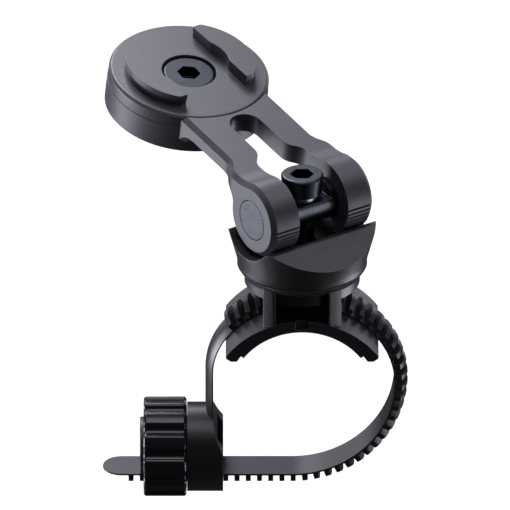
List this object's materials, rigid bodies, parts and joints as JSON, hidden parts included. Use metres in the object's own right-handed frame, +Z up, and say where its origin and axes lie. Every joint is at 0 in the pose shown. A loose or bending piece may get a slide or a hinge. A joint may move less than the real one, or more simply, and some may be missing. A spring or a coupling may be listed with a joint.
{
  "type": "handlebar phone mount",
  "caption": "Handlebar phone mount: toothed strap with knob, swivel cradle, tilting forked arm and round lock plate with bayonet lugs.",
  "frame": {"origin": "on the axis of the handlebar clamp, midway along the saddle", "axes": "+Y along the handlebar, +Z up through the swivel, +X away from the strap's knob"},
  "size_m": [0.0605, 0.0631, 0.0816],
  "materials": {
    "body_plastic": "satin black moulded nylon with a fine grain",
    "arm_plastic": "satin charcoal moulded nylon, a little paler than the saddle",
    "strap_plastic": "satin black flexible nylon",
    "knob_plastic": "semi-gloss black moulded plastic",
    "core_plastic": "dark grey acetal",
    "pad_rubber": "matt black rubber",
    "black_screw_steel": "black oxide steel, semi-gloss",
    "barrel_aluminium": "black anodised aluminium",
    "plain_steel": "zinc plated steel"
  },
  "bodies": {
    "base": {"base_saddle": "body_plastic", "bar_pad": "pad_rubber", "clamp_nut": "plain_steel", "swivel_ring": "core_plastic", "strap": "strap_plastic", "knob_hub": "core_plastic", "hub_cap": "core_plastic"},
    "cradle": {"cradle": "body_plastic", "clamp_screw": "black_screw_steel", "clamp_washer": "plain_steel", "pivot_barrel": "barrel_aluminium"},
    "arm": {"arm_fork": "arm_plastic", "lock_plate": "arm_plastic", "head_screw": "black_screw_steel", "head_nut": "plain_steel"},
    "knob": {"knob_grip": "knob_plastic", "worm_sleeve": "core_plastic", "knob_washer": "core_plastic"},
    "tail": {"strap_tail": "strap_plastic"}
  },
  "joints": [
    {"name": "cradle_swivel", "type": "hinge", "parent": "base", "child": "cradle", "pos_m": [0, 0, 0.0247], "axis": [0, 0, 1], "continuous": true},
    {"name": "arm_tilt", "type": "hinge", "parent": "cradle", "child": "arm", "pos_m": [0, 0, 0.03735], "axis": [0.8192, 0.5736, 0], "range_deg": [-44, 148]},
    {"name": "knob_spin", "type": "hinge", "parent": "base", "child": "knob", "pos_m": [-0.027, 0, -0.01667], "axis": [1, 0, 0], "range_deg": [0, 1080]},
    {"name": "strap_feed", "type": "slide", "parent": "base", "child": "tail", "axis": [-1, 0, 0], "range_m": [0, 0.0067]}
  ],
  "couplings": [
    {"joint": "strap_feed", "follows": "knob_spin", "m_per_rad": 0.00035492}
  ]
}
